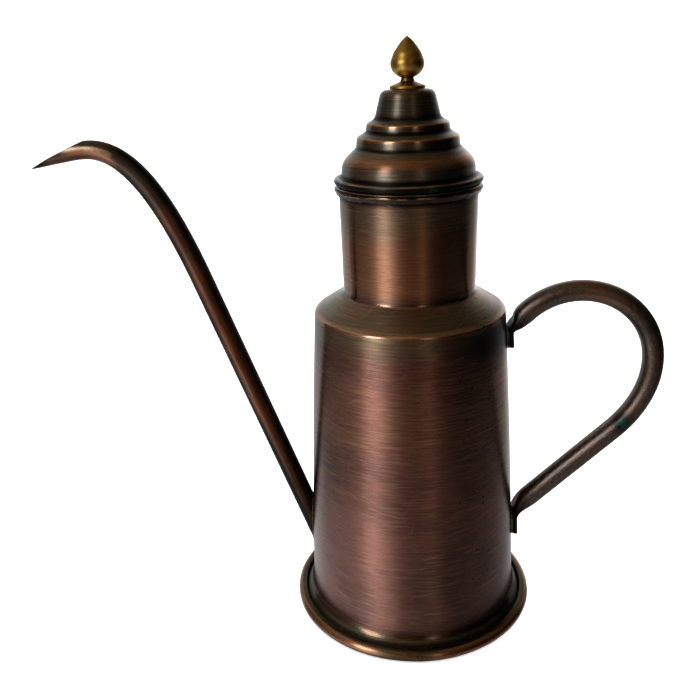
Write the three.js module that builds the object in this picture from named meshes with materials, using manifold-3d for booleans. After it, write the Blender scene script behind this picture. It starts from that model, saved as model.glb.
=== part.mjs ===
// Tall copper watering can: a tapered spun body with a straight neck, a long bent quill spout,
// a looped tube handle and a stepped lid that lifts off. Millimetres, +Z up. The origin is the
// centre of the flat underside, the spout points along -X and the handle along +X.
import * as THREE from 'three';
import { mergeVertices } from 'three/addons/utils/BufferGeometryUtils.js';
import Module from 'manifold-3d';

const wasm = await Module();
wasm.setup();

// Sheet, clearances and cuts
const sheet = 0.9;
const seatGap = 0.25;
const cutOverrun = 6;
const rootTolerance = 0.0001;

// Body shell, outer face of the sheet
const wallFootRadius = 56.9;
const wallFootHeight = 9.2;
const wallBulge = 0.7;
const flareFillet = 6;
const shoulderRadius = 48.6;
const shoulderHeight = 171;
const shoulderFillet = 1.8;
const neckFootHeight = 180.8;
const neckFootFillet = 1.1;
const neckTopRadius = 33.85;
const neckFlare = 0.55;
const neckFootRadius = neckTopRadius - neckFlare;
const mouthHeight = 234.05;
const hemHeight = 4.05;
const hemFoldRadius = 0.45;
const hemBow = 0.3;

// Rolled seam at the foot: the edge of the base plate goes round a wire and over the body flange
const rollCentreRadius = 62.9;
const rollRadius = 3.3;
const rollEndAngle = THREE.MathUtils.degToRad(112);
const rimWireRadius = 1.5;
const flangeTipReach = 0.4;
const flangeToeRadius = 61.2;
const flangeToeFillet = 2;
const seamSolderWidth = 3.4;

// Spout: straight run, bend and quill point, in the plane of the handle
const spoutFootRadius = 5.5;
const spoutTipRadius = 4.55;
const spoutLean = THREE.MathUtils.degToRad(19.7);
const spoutEntryHeight = 45;
const spoutTrimHeight = 22;
const spoutStraightTop = 186.3;
const spoutCrownReach = 157;
const spoutCrownHeight = 253.6;
const spoutBendLift = 40;
const spoutBendLead = 22;
const spoutQuillLength = 31;
const spoutQuillDroop = THREE.MathUtils.degToRad(9.5);
const spoutQuillBend = 5;
const spoutTaperPower = 3.5;
const quillCutLead = 1.3;
const quillCutAngle = THREE.MathUtils.degToRad(23.5);
const quillKneeRun = 19.3;
const quillPointAngle = THREE.MathUtils.degToRad(26.6);
const spoutBrazeSize = 2.2;

// Handle: tube bent round a loop, with both ends hammered into flat tabs on the wall
const handleRadius = 5.6;
const handleBendShare = 0.95;
const loopRadius = 38.2;
const loopCentreReach = 86.3;
const loopCentreHeight = 140;
const loopStart = THREE.MathUtils.degToRad(143);
const loopEnd = THREE.MathUtils.degToRad(10);
const loopExitLead = 17.5;
const armSlope = THREE.MathUtils.degToRad(44.3);
const armReach = 87.7;
const armHeight = 82;
const armTopReach = 107;
const armFootClear = 10.6;
const armFootLead = 6;
const tabThickness = 2.3;
const tabWidth = 16;
const upperTabBottom = 150.4;
const upperTabTop = 157.5;
const upperTabLead = 2.8;
const lowerTabBottom = 39.8;
const lowerTabTop = 49;
const lowerTabLead = 4;
const upperFlatten = 12;
const lowerFlatten = 14;
const bendThinningStart = 51;
const bendThinningEnd = 85;
const brazeLayer = 0.3;
const brazeWidth = 13.6;

// Lid shell, outer face of the sheet, from the lip up to the crown. It follows the mouth: rises
// are heights above it, and the shares are of the radius at the top of the dome.
const lipRadius = 1.6;
const lipOverhang = 0.7;
const lipReturn = 1.1;
const lipWidth = 2.05;
const domeFootFillet = 0.8;
const domeTaper = 0.55;
const domeTopRise = 10.85;
const domeTopFillet = 9;
const lowerStepShare = 0.781;
const lowerStepFootRise = 17.25;
const lowerStepTaper = 0.45;
const lowerStepTopRise = 21.95;
const upperStepShare = 0.632;
const upperStepFootRise = 24.35;
const upperStepTaper = 0.5;
const upperStepTopRise = 28.05;
const coneFootShare = 0.4945;
const coneFootRise = 30.25;
const crownShare = 0.392;
const crownRise = 42.6;
const stepFillet = 0.9;
const coneFootFillet = 2.4;
const crownFillet = 2.8;

// Collar that pushes into the neck, and its solder
const collarClearance = 0.35;
const collarDepth = 16;
const collarSolderSize = 1.3;

// Turned finial with its stud, washer and nut
const finialFootRadius = 7.95;
const finialFootEdge = 1.9;
const finialConeHeight = 1.9;
const finialNeckRadius = 2.9;
const finialNeckLength = 1.4;
const bulbRadius = 7.75;
const bulbRise = 6.2;
const bulbPointRise = 12;
const studRadius = 2;
const studLength = 8;
const washerRadius = 4.5;
const washerThickness = 0.8;
const nutAcrossFlats = 7;
const nutThickness = 3.2;

// Facets
const bodySteps = 36;
const finialSteps = 22;
const wireSteps = 6;
const tubeSteps = 16;
const handleSteps = 18;
const wallSteps = 5;
const spoutBendSteps = 16;
const quillKinkSteps = 3;
const flattenSteps = 5;
const loopSteps = 17;
const brazeSteps = 8;
const bulbSteps = 5;
const arcStep = THREE.MathUtils.degToRad(45);
const foldStep = THREE.MathUtils.degToRad(60);
const rollStep = THREE.MathUtils.degToRad(34);

const at = (r, z) => new THREE.Vector2(r, z);

// Outer face of the tapered wall at a height: a straight taper with a slight swell.
function wallRadius(z) {
  const share = (z - wallFootHeight) / (shoulderHeight - wallFootHeight);
  const taper = wallFootRadius + (shoulderRadius - wallFootRadius) * share;
  return taper + 4 * wallBulge * share * (1 - share);
}

function neckRadius(z) {
  const share = (z - neckFootHeight) / (mouthHeight - neckFootHeight);
  return neckFootRadius + (neckTopRadius - neckFootRadius) * share;
}

// Points along an arc about a centre, both ends included.
function arc(centre, radius, from, to, step = arcStep) {
  const count = Math.max(2, Math.ceil(Math.abs(to - from) / step));
  const points = [];
  for (let i = 0; i <= count; i += 1) {
    const angle = from + (to - from) * i / count;
    points.push(at(centre.x + radius * Math.cos(angle), centre.y + radius * Math.sin(angle)));
  }
  return points;
}

// Path through corners, where a corner with a fillet is rounded by an arc.
function filletedPath(corners) {
  const path = [];
  corners.forEach(({ point, fillet }, i) => {
    if (!fillet) {
      path.push(point.clone());
      return;
    }
    const back = corners[i - 1].point.clone().sub(point).normalize();
    const onward = corners[i + 1].point.clone().sub(point).normalize();
    const half = Math.acos(back.dot(onward)) / 2;
    const reach = fillet / Math.tan(half);
    const towardCentre = back.clone().add(onward).normalize();
    const centre = point.clone().addScaledVector(towardCentre, fillet / Math.sin(half));
    const start = point.clone().addScaledVector(back, reach).sub(centre).angle();
    const end = point.clone().addScaledVector(onward, reach).sub(centre).angle();
    const turn = Math.atan2(Math.sin(end - start), Math.cos(end - start));
    path.push(...arc(centre, fillet, start, start + turn));
  });
  return path;
}

// Closed outline of a sheet that lies to the left of a path along its outer face.
function sheetOutline(path, thickness) {
  const inner = path.map((point, i) => {
    const before = path[Math.max(i - 1, 0)];
    const after = path[Math.min(i + 1, path.length - 1)];
    const arriving = (i === 0 ? after.clone().sub(point) : point.clone().sub(before)).normalize();
    const leaving = (after === point ? arriving : after.clone().sub(point).normalize());
    const mean = arriving.clone().add(leaving).normalize();
    const miter = thickness / mean.dot(arriving);
    return at(point.x - mean.y * miter, point.y + mean.x * miter);
  });
  return [...path, ...inner.reverse(), path[0].clone()];
}

// Body of revolution about Z. The outline starts and ends on the axis or closes on itself.
function turned(outline, steps = bodySteps) {
  const geometry = new THREE.LatheGeometry(outline, steps);
  geometry.rotateX(Math.PI / 2);
  const isReversed = THREE.ShapeUtils.area(outline) < 0;
  return isReversed ? reversed(geometry) : geometry;
}

function reversed(geometry) {
  const index = geometry.index.array;
  for (let i = 0; i < index.length; i += 3) {
    [index[i], index[i + 1]] = [index[i + 1], index[i]];
  }
  return geometry;
}

// Skin through rings of equal point counts. A ring loop closes on itself, otherwise flat ends
// close it.
function skin(rings, isLoop) {
  const count = rings[0].length;
  const positions = rings.flat().flatMap((p) => [p.x, p.y, p.z]);
  const faces = [];
  const last = isLoop ? rings.length : rings.length - 1;
  for (let i = 0; i < last; i += 1) {
    const here = i * count;
    const next = ((i + 1) % rings.length) * count;
    for (let j = 0; j < count; j += 1) {
      const side = (j + 1) % count;
      faces.push(here + j, here + side, next + side, here + j, next + side, next + j);
    }
  }
  if (!isLoop) {
    const end = (rings.length - 1) * count;
    for (let j = 1; j < count - 1; j += 1) {
      faces.push(0, j + 1, j, end, end + j, end + j + 1);
    }
  }
  const geometry = new THREE.BufferGeometry();
  geometry.setAttribute('position', new THREE.Float32BufferAttribute(positions, 3));
  geometry.setIndex(faces);
  return signedVolume(geometry) < 0 ? reversed(geometry) : geometry;
}

function signedVolume(geometry) {
  const position = geometry.attributes.position;
  const index = geometry.index.array;
  const corner = [new THREE.Vector3(), new THREE.Vector3(), new THREE.Vector3()];
  let volume = 0;
  for (let i = 0; i < index.length; i += 3) {
    corner.forEach((point, j) => point.fromBufferAttribute(position, index[i + j]));
    volume += corner[0].dot(corner[1].clone().cross(corner[2])) / 6;
  }
  return volume;
}

function toSolid(geometry) {
  const bare = geometry.clone();
  bare.deleteAttribute('normal');
  bare.deleteAttribute('uv');
  const merged = mergeVertices(bare);
  return new wasm.Manifold(new wasm.Mesh({
    numProp: 3,
    vertProperties: Float32Array.from(merged.attributes.position.array),
    triVerts: Uint32Array.from(merged.index.array),
  }));
}

function toGeometry(solid) {
  const mesh = solid.getMesh();
  const geometry = new THREE.BufferGeometry();
  geometry.setAttribute('position', new THREE.BufferAttribute(mesh.vertProperties, 3));
  geometry.setIndex(new THREE.BufferAttribute(mesh.triVerts, 1));
  return geometry;
}

// Spout centreline in the XZ plane, from inside the body out to the quill point.
const spoutDirection = at(-Math.sin(spoutLean), Math.cos(spoutLean));
const spoutEntry = at(-wallRadius(spoutEntryHeight), spoutEntryHeight);

function alongSpout(height) {
  const run = (height - spoutEntry.y) / spoutDirection.y;
  return spoutEntry.clone().addScaledVector(spoutDirection, run);
}

function spoutRoute() {
  const bendStart = alongSpout(spoutStraightTop);
  const crown = at(-spoutCrownReach, spoutCrownHeight);
  const quillDirection = at(-Math.cos(spoutQuillDroop), -Math.sin(spoutQuillDroop));
  const kink = crown.clone().add(at(-spoutQuillBend, 0));
  const quillStart = kink.clone().addScaledVector(quillDirection, spoutQuillBend);
  const quillEnd = quillStart.clone().addScaledVector(quillDirection, spoutQuillLength);
  const lift = bendStart.clone().addScaledVector(spoutDirection, spoutBendLift);
  const lead = crown.clone().add(at(spoutBendLead, 0));
  return {
    straight: new THREE.LineCurve(alongSpout(spoutTrimHeight), bendStart),
    bend: new THREE.CubicBezierCurve(bendStart, lift, lead, crown),
    kink: new THREE.QuadraticBezierCurve(crown, kink, quillStart),
    quill: new THREE.LineCurve(quillStart, quillEnd),
  };
}

// Round ring of the spout at a point of its route.
function spoutRing(point, tangent, radius) {
  const ring = [];
  for (let j = 0; j < tubeSteps; j += 1) {
    const angle = 2 * Math.PI * j / tubeSteps;
    const across = radius * Math.cos(angle);
    ring.push(new THREE.Vector3(
      point.x - tangent.y * across,
      radius * Math.sin(angle),
      point.y + tangent.x * across,
    ));
  }
  return ring;
}

function spoutRings(offset) {
  const route = spoutRoute();
  const rings = [];
  const add = (curve, share, radius) => {
    rings.push(spoutRing(curve.getPoint(share), curve.getTangent(share), radius + offset));
  };
  add(route.straight, 0, spoutFootRadius);
  add(route.straight, 1, spoutFootRadius);
  for (let i = 1; i <= spoutBendSteps; i += 1) {
    const share = i / spoutBendSteps;
    const taper = share ** spoutTaperPower;
    add(route.bend, share, THREE.MathUtils.lerp(spoutFootRadius, spoutTipRadius, taper));
  }
  for (let i = 1; i <= quillKinkSteps; i += 1) {
    add(route.kink, i / quillKinkSteps, spoutTipRadius);
  }
  add(route.quill, 1, spoutTipRadius);
  return rings;
}

// Inside of the tapered wall as a solid, up to the shoulder.
function wallCore(offset) {
  const outline = [at(0, 0)];
  for (let i = 0; i <= wallSteps; i += 1) {
    const z = wallFootHeight + (shoulderHeight - wallFootHeight) * i / wallSteps;
    outline.push(at(wallRadius(z) + offset, z));
  }
  outline[0].y = wallFootHeight;
  outline.push(at(0, shoulderHeight));
  return toSolid(turned(outline));
}

function spoutTube() {
  const outer = spoutRings(0);
  const inner = spoutRings(-sheet);
  const tube = toSolid(skin([...outer, ...inner.reverse()], true));
  const trimmed = tube.subtract(wallCore(-sheet));
  return toGeometry(trimmed.subtract(quillCutter()));
}

// Block whose underside lies on the slanted cut of the quill, which steepens toward the point.
function quillCutter() {
  const slope = (angle) => at(-Math.cos(angle), -Math.sin(angle));
  const start = at(-spoutCrownReach - quillCutLead, spoutCrownHeight + spoutTipRadius);
  const knee = start.clone().addScaledVector(slope(quillCutAngle), quillKneeRun);
  const end = knee.clone().addScaledVector(slope(quillPointAngle), spoutQuillLength);
  const before = start.clone().addScaledVector(slope(quillCutAngle), -cutOverrun);
  const block = new THREE.Shape([before, knee, end, at(end.x, before.y)]);
  const width = 2 * (spoutTipRadius + cutOverrun);
  const geometry = new THREE.ExtrudeGeometry(block, { depth: width, bevelEnabled: false });
  geometry.rotateX(Math.PI / 2);
  geometry.translate(0, width / 2, 0);
  return toSolid(geometry);
}

// Solid that fills the spout and its clearance, for the hole in the wall.
function spoutCutter() {
  const [start, end] = spoutRings(seatGap);
  return toSolid(skin([start, end], false));
}

// Where a line on the spout's surface, at an angle round it, leaves the wall.
function spoutRoot(angle, radius, wallOffset) {
  const across = radius * Math.cos(angle);
  const y = radius * Math.sin(angle);
  const point = (run) => {
    const on = spoutEntry.clone().addScaledVector(spoutDirection, run);
    return new THREE.Vector3(on.x - spoutDirection.y * across, y, on.y + spoutDirection.x * across);
  };
  let low = -spoutEntryHeight;
  let high = spoutStraightTop - spoutEntryHeight;
  while (high - low > rootTolerance) {
    const middle = (low + high) / 2;
    const trial = point(middle);
    const isInside = Math.hypot(trial.x, trial.y) < wallRadius(trial.z) + wallOffset;
    if (isInside) low = middle;
    else high = middle;
  }
  return { point: point(high), run: high, at: point };
}

// Three-sided bead of braze round the spout where it leaves the wall.
function spoutBraze() {
  const rings = [];
  const beadSteps = 2 * tubeSteps;
  const tubeSide = spoutFootRadius + seatGap;
  for (let i = 0; i < beadSteps; i += 1) {
    const angle = 2 * Math.PI * i / beadSteps;
    const root = spoutRoot(angle, tubeSide, seatGap);
    const onTube = root.at(root.run + spoutBrazeSize);
    const onWall = spoutRoot(angle, tubeSide + spoutBrazeSize / 2, seatGap).point;
    rings.push([root.point, onTube, onWall]);
  }
  return skin(rings, true);
}

// Body shell: flange in the base seam, flare, wall, shoulder, neck and turned-over hem. The
// edge of the roll presses on the flange.
const flangeTop = rollRadius + (rollRadius - sheet) * Math.sin(rollEndAngle) - seatGap;

function bodyPath() {
  const wall = [];
  for (let i = 1; i < wallSteps; i += 1) {
    const z = wallFootHeight + (shoulderHeight - wallFootHeight) * i / wallSteps;
    wall.push({ point: at(wallRadius(z), z) });
  }
  const foldCentre = at(neckTopRadius + hemFoldRadius, mouthHeight - sheet - hemFoldRadius);
  const hemFace = foldCentre.x + hemFoldRadius;
  const path = filletedPath([
    { point: at(rollCentreRadius + flangeTipReach, flangeTop) },
    { point: at(flangeToeRadius, flangeTop), fillet: flangeToeFillet },
    { point: at(wallFootRadius, wallFootHeight), fillet: flareFillet },
    ...wall,
    { point: at(shoulderRadius, shoulderHeight), fillet: shoulderFillet },
    { point: at(neckFootRadius, neckFootHeight), fillet: neckFootFillet },
    { point: at(neckTopRadius, foldCentre.y) },
  ]);
  path.pop();
  path.push(...arc(foldCentre, hemFoldRadius, Math.PI, 0, foldStep));
  path.push(at(hemFace + hemBow, mouthHeight - hemHeight / 2));
  path.push(at(neckTopRadius + seatGap, mouthHeight - hemHeight));
  return path;
}

function bodyShell() {
  const shell = toSolid(turned(sheetOutline(bodyPath(), sheet)));
  return toGeometry(shell.subtract(spoutCutter()));
}

function basePlate() {
  const centre = at(rollCentreRadius, rollRadius);
  const outer = arc(centre, rollRadius, -Math.PI / 2, rollEndAngle, rollStep);
  const inner = arc(centre, rollRadius - sheet, rollEndAngle, -Math.PI / 2, rollStep);
  return turned([at(0, 0), ...outer, ...inner, at(0, sheet)]);
}

function baseRimWire() {
  const height = sheet + seatGap + rimWireRadius;
  const section = arc(at(rollCentreRadius, height), rimWireRadius, 0, 2 * Math.PI, 2 * Math.PI / wireSteps);
  return turned(section);
}

function baseSeamSolder() {
  const outerRadius = rollCentreRadius - rimWireRadius - seatGap;
  const bottom = sheet + seatGap;
  const top = flangeTop - sheet - seatGap;
  const outline = [
    at(outerRadius - seamSolderWidth, bottom),
    at(outerRadius, bottom),
    at(outerRadius, top),
    at(flangeToeRadius - sheet, top),
    at(outerRadius - seamSolderWidth, bottom),
  ];
  return turned(outline);
}

// Handle centreline in the XZ plane, from the foot of the upper tab to the foot of the lower.
const tabOffset = 2 * seatGap + brazeLayer + tabThickness / 2;
const armFootReach = wallRadius(lowerTabTop) + armFootClear;

function tabPoint(z) {
  return at(wallRadius(z) + tabOffset, z);
}

function handleRoute() {
  const loopCentre = at(loopCentreReach, loopCentreHeight);
  const onLoop = (angle) => at(
    loopCentre.x + loopRadius * Math.cos(angle),
    loopCentre.y + loopRadius * Math.sin(angle),
  );
  const clockwise = (angle) => at(Math.sin(angle), -Math.cos(angle));
  const armDirection = at(-Math.cos(armSlope), -Math.sin(armSlope));
  const onArm = (reach) => at(reach, armHeight + (reach - armReach) * Math.tan(armSlope));
  const armStart = onArm(armTopReach);
  const armEnd = onArm(armFootReach);
  const route = new THREE.Path();
  const loopIn = onLoop(loopStart).addScaledVector(clockwise(loopStart), -upperTabLead);
  const loopOut = onLoop(loopEnd).addScaledVector(clockwise(loopEnd), loopExitLead);
  const armIn = armStart.clone().addScaledVector(armDirection, -loopExitLead);
  const armOut = armEnd.clone().addScaledVector(armDirection, armFootLead);
  const tabOut = tabPoint(upperTabTop + upperTabLead);
  const tabIn = tabPoint(lowerTabTop + lowerTabLead);
  route.moveTo(...tabPoint(upperTabBottom));
  route.lineTo(...tabPoint(upperTabTop));
  route.bezierCurveTo(...tabOut, ...loopIn, ...onLoop(loopStart));
  route.absarc(...loopCentre, loopRadius, loopStart, loopEnd, true);
  route.bezierCurveTo(...loopOut, ...armIn, ...armStart);
  route.lineTo(...armEnd);
  route.bezierCurveTo(...armOut, ...tabIn, ...tabPoint(lowerTabTop));
  route.lineTo(...tabPoint(lowerTabBottom));
  return route;
}

// Half thickness and half width of the handle at a distance from each end.
function handleSection(fromUpper, fromLower) {
  const upperFlat = upperTabTop - upperTabBottom;
  const lowerFlat = lowerTabTop - lowerTabBottom;
  const upperShare = THREE.MathUtils.smoothstep(fromUpper, upperFlat, upperFlat + upperFlatten);
  const lowerShare = THREE.MathUtils.smoothstep(fromLower, lowerFlat, lowerFlat + lowerFlatten);
  const roundShare = Math.min(upperShare, lowerShare);
  const bendShare = THREE.MathUtils.smoothstep(fromLower, bendThinningStart, bendThinningEnd);
  const inPlane = handleRadius * THREE.MathUtils.lerp(1, handleBendShare, bendShare);
  const sideways = 2 * handleRadius - inPlane;
  return {
    half: THREE.MathUtils.lerp(tabThickness / 2, inPlane, roundShare),
    wide: THREE.MathUtils.lerp(tabWidth / 2, sideways, Math.sqrt(roundShare)),
  };
}

// Point at a share of the way round an outline with two flats and two round ends.
function flattenedPoint(share, half, straight) {
  const quarter = half * Math.PI / 2;
  const round = 4 * (quarter + straight);
  let run = share * round;
  if (run < quarter) {
    return at(half * Math.sin(run / half), straight + half * Math.cos(run / half));
  }
  run -= quarter;
  if (run < 2 * straight) return at(half, straight - run);
  run -= 2 * straight;
  if (run < 2 * quarter) {
    return at(half * Math.cos(run / half), -straight - half * Math.sin(run / half));
  }
  run -= 2 * quarter;
  if (run < 2 * straight) return at(-half, run - straight);
  run -= 2 * straight;
  return at(-half * Math.cos(run / half), straight + half * Math.sin(run / half));
}

function handleRing(point, tangent, section, inset) {
  const half = section.half - inset;
  const straight = Math.max(section.wide - section.half, 0);
  const ring = [];
  for (let j = 0; j < handleSteps; j += 1) {
    const { x: across, y } = flattenedPoint(j / handleSteps, half, straight);
    const x = point.x - tangent.y * across;
    ring.push(new THREE.Vector3(x, y, point.y + tangent.x * across));
  }
  return ring;
}

function handleTube() {
  const route = handleRoute();
  const length = route.getLength();
  const steps = [];
  const upperFlat = upperTabTop - upperTabBottom;
  const lowerFlat = lowerTabTop - lowerTabBottom;
  steps.push(0);
  for (let i = 0; i < flattenSteps; i += 1) {
    steps.push(upperFlat + upperFlatten * i / flattenSteps);
  }
  const loopFrom = upperFlat + upperFlatten;
  const loopTo = length - lowerFlat - lowerFlatten;
  for (let i = 0; i <= loopSteps; i += 1) {
    steps.push(loopFrom + (loopTo - loopFrom) * i / loopSteps);
  }
  for (let i = 1; i <= flattenSteps; i += 1) {
    steps.push(loopTo + lowerFlatten * i / flattenSteps);
  }
  steps.push(length);
  const rings = (inset) => steps.map((distance) => {
    const share = distance / length;
    const section = handleSection(distance, length - distance);
    return handleRing(route.getPoint(share), route.getTangent(share), section, inset);
  });
  return skin([...rings(0), ...rings(sheet).reverse()], true);
}

// Braze between a flat tab and the round wall: hollow on the wall side, thicker at its edges.
function tabBraze(bottom, top) {
  const radius = wallRadius(top);
  const halfAngle = Math.asin(brazeWidth / 2 / radius);
  const heights = [bottom, top];
  const rings = [];
  for (let i = 0; i <= brazeSteps; i += 1) {
    const angle = THREE.MathUtils.lerp(-halfAngle, halfAngle, i / brazeSteps);
    const y = radius * Math.sin(angle);
    const near = heights.map((z) => {
      const wall = wallRadius(z) + seatGap;
      return new THREE.Vector3(Math.sqrt(wall * wall - y * y), y, z);
    });
    const far = heights.map((z) => new THREE.Vector3(wallRadius(z) + seatGap + brazeLayer, y, z));
    rings.push([near[0], near[1], far[1], far[0]]);
  }
  return skin(rings, false);
}

// Lid shell: rolled lip, dome, two steps and a steep cone with a flat crown bored for the stud.
const lipCentreRadius = neckTopRadius + lipOverhang;
const lipCentreHeight = mouthHeight + seatGap + lipRadius;
const domeFootRadius = lipCentreRadius - lipWidth;
const domeTopRadius = domeFootRadius - domeTaper;
const crownHeight = mouthHeight + crownRise;

function lidPath() {
  const lipCentre = at(lipCentreRadius, lipCentreHeight);
  const lipTop = lipCentreHeight + lipRadius;
  const lowerStepRadius = domeTopRadius * lowerStepShare;
  const upperStepRadius = domeTopRadius * upperStepShare;
  const onLid = (radius, rise, fillet) => ({ point: at(radius, mouthHeight + rise), fillet });
  const upward = filletedPath([
    { point: at(lipCentreRadius, lipTop) },
    { point: at(domeFootRadius, lipTop), fillet: domeFootFillet },
    onLid(domeTopRadius, domeTopRise, domeTopFillet),
    onLid(lowerStepRadius, lowerStepFootRise, stepFillet),
    onLid(lowerStepRadius - lowerStepTaper, lowerStepTopRise, stepFillet),
    onLid(upperStepRadius, upperStepFootRise, stepFillet),
    onLid(upperStepRadius - upperStepTaper, upperStepTopRise, stepFillet),
    onLid(domeTopRadius * coneFootShare, coneFootRise, coneFootFillet),
    onLid(domeTopRadius * crownShare, crownRise, crownFillet),
    onLid(studRadius + seatGap, crownRise),
  ]);
  return [
    at(lipCentreRadius - lipReturn, lipCentreHeight - lipRadius),
    ...arc(lipCentre, lipRadius, -Math.PI / 2, Math.PI / 2, foldStep),
    ...upward.slice(1),
  ];
}

function lidShell() {
  return turned(sheetOutline(lidPath(), sheet));
}

const collarTop = lipCentreHeight + lipRadius - sheet - seatGap;
const collarBottom = mouthHeight - collarDepth;
const collarRadius = neckRadius(collarBottom) - sheet - collarClearance;

function lidCollar() {
  return turned([
    at(collarRadius, collarBottom),
    at(collarRadius, collarTop),
    at(collarRadius - sheet, collarTop),
    at(collarRadius - sheet, collarBottom),
    at(collarRadius, collarBottom),
  ]);
}

function lidCollarSolder() {
  const outer = collarRadius - sheet - seatGap;
  return turned([
    at(outer, collarTop - collarSolderSize),
    at(outer, collarTop + collarSolderSize),
    at(outer - collarSolderSize, collarTop + collarSolderSize),
    at(outer, collarTop - collarSolderSize),
  ]);
}

// Finial: stud, coned foot, short neck and a drop that rises to a point.
function finial() {
  const footBottom = crownHeight + seatGap;
  const coneStart = footBottom + finialFootEdge;
  const coneTop = coneStart + finialConeHeight;
  const neckTop = coneTop + finialNeckLength;
  const bulbHeight = neckTop + bulbRise;
  const outline = [
    at(0, footBottom - studLength),
    at(studRadius, footBottom - studLength),
    at(studRadius, footBottom),
    at(finialFootRadius, footBottom),
    at(finialFootRadius, coneStart),
    at(finialNeckRadius, coneTop),
    at(finialNeckRadius, neckTop),
  ];
  const bottomAngle = -Math.acos(finialNeckRadius / bulbRadius);
  const bulbDepth = -bulbRise / Math.sin(bottomAngle);
  for (let i = 1; i <= bulbSteps; i += 1) {
    const angle = bottomAngle * (1 - i / bulbSteps);
    outline.push(at(bulbRadius * Math.cos(angle), bulbHeight + bulbDepth * Math.sin(angle)));
  }
  for (let i = 1; i <= bulbSteps; i += 1) {
    const share = i / bulbSteps;
    const radius = i === bulbSteps ? 0 : bulbRadius * Math.cos(share * Math.PI / 2);
    outline.push(at(radius, bulbHeight + bulbPointRise * share));
  }
  return turned(outline, finialSteps);
}

const washerTop = crownHeight - sheet - seatGap;

function finialWasher() {
  return turned([
    at(studRadius + seatGap, washerTop - washerThickness),
    at(washerRadius, washerTop - washerThickness),
    at(washerRadius, washerTop),
    at(studRadius + seatGap, washerTop),
    at(studRadius + seatGap, washerTop - washerThickness),
  ], finialSteps);
}

function finialNut() {
  const corner = nutAcrossFlats / 2 / Math.cos(Math.PI / 6);
  const hexagon = new THREE.Shape();
  for (let i = 0; i < 6; i += 1) {
    const angle = Math.PI * i / 3;
    const point = at(corner * Math.cos(angle), corner * Math.sin(angle));
    if (i === 0) hexagon.moveTo(...point);
    else hexagon.lineTo(...point);
  }
  hexagon.closePath();
  const bore = new THREE.Path();
  bore.absarc(0, 0, studRadius + seatGap, 0, 2 * Math.PI, true);
  hexagon.holes.push(bore);
  const geometry = new THREE.ExtrudeGeometry(hexagon, {
    depth: nutThickness,
    bevelEnabled: false,
    curveSegments: finialSteps / 2,
  });
  geometry.translate(0, 0, washerTop - washerThickness - seatGap - nutThickness);
  return geometry;
}

// Materials
const copper = (color, roughness) => new THREE.MeshStandardMaterial({ color, roughness, metalness: 1 });
const agedCopper = () => copper(0x5a3a30, 0.38);
const darkCopper = () => copper(0x4a3226, 0.36);
const rimCopper = () => copper(0x8a5636, 0.32);
const innerCopper = () => copper(0x9a6a50, 0.45);
const brass = () => new THREE.MeshStandardMaterial({ color: 0x9a7a34, roughness: 0.34, metalness: 1 });
const braze = () => new THREE.MeshStandardMaterial({ color: 0xa08a4a, roughness: 0.5, metalness: 1 });
const solder = () => new THREE.MeshStandardMaterial({ color: 0x8c8a84, roughness: 0.45, metalness: 1 });

const can = new THREE.Group();

function place(group, name, geometry, material) {
  const mesh = new THREE.Mesh(geometry, material);
  mesh.name = name;
  group.add(mesh);
}

const vessel = new THREE.Group();
place(vessel, 'body_shell', bodyShell(), agedCopper());
place(vessel, 'base_plate', basePlate(), rimCopper());
place(vessel, 'base_rim_wire', baseRimWire(), innerCopper());
place(vessel, 'base_seam_solder', baseSeamSolder(), solder());
place(vessel, 'spout_tube', spoutTube(), darkCopper());
place(vessel, 'spout_braze', spoutBraze(), braze());
place(vessel, 'handle_tube', handleTube(), darkCopper());
place(vessel, 'handle_upper_braze', tabBraze(upperTabBottom, upperTabTop), braze());
place(vessel, 'handle_lower_braze', tabBraze(lowerTabBottom, lowerTabTop), braze());
can.add(vessel);

const lid = new THREE.Group();
place(lid, 'lid_shell', lidShell(), agedCopper());
place(lid, 'lid_collar', lidCollar(), innerCopper());
place(lid, 'lid_collar_solder', lidCollarSolder(), solder());
place(lid, 'finial', finial(), brass());
place(lid, 'finial_washer', finialWasher(), brass());
place(lid, 'finial_nut', finialNut(), brass());
can.add(lid);

export default can;
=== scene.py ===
import math

import bmesh
import bpy
import numpy as np
from mathutils import Matrix, Vector


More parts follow.
